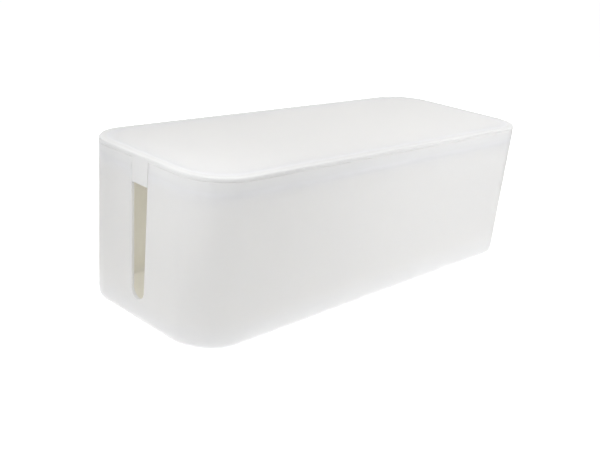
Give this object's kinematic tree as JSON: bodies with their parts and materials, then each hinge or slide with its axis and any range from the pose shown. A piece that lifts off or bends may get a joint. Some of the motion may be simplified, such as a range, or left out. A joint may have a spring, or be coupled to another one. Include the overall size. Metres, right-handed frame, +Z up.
{
  "type": "cable management box",
  "caption": "Long moulded box with large rounded corners and a lift-off lid, whose end slots let cords pass while a power strip lies hidden inside.",
  "frame": {"origin": "centre of the footprint on the table, at the soles of the feet", "axes": "+X along the length towards the right end, +Y towards the back, +Z up; the long front face looks along -Y and the end seen in the picture is the one at -X"},
  "size_m": [0.407, 0.157, 0.1335],
  "materials": {
    "tub_plastic": "satin moulded",
    "lid_plastic": "satin moulded",
    "foot_rubber": "matte"
  },
  "bodies": {
    "tub": {"tub": "tub_plastic", "foot_front_left": "foot_rubber", "foot_front_right": "foot_rubber", "foot_back_left": "foot_rubber", "foot_back_right": "foot_rubber"},
    "lid": {"lid": "lid_plastic"}
  },
  "joints": [
    {"name": "lid_lift", "type": "slide", "parent": "tub", "child": "lid", "axis": [0, 0, 1], "range_m": [0, 0.12]}
  ]
}
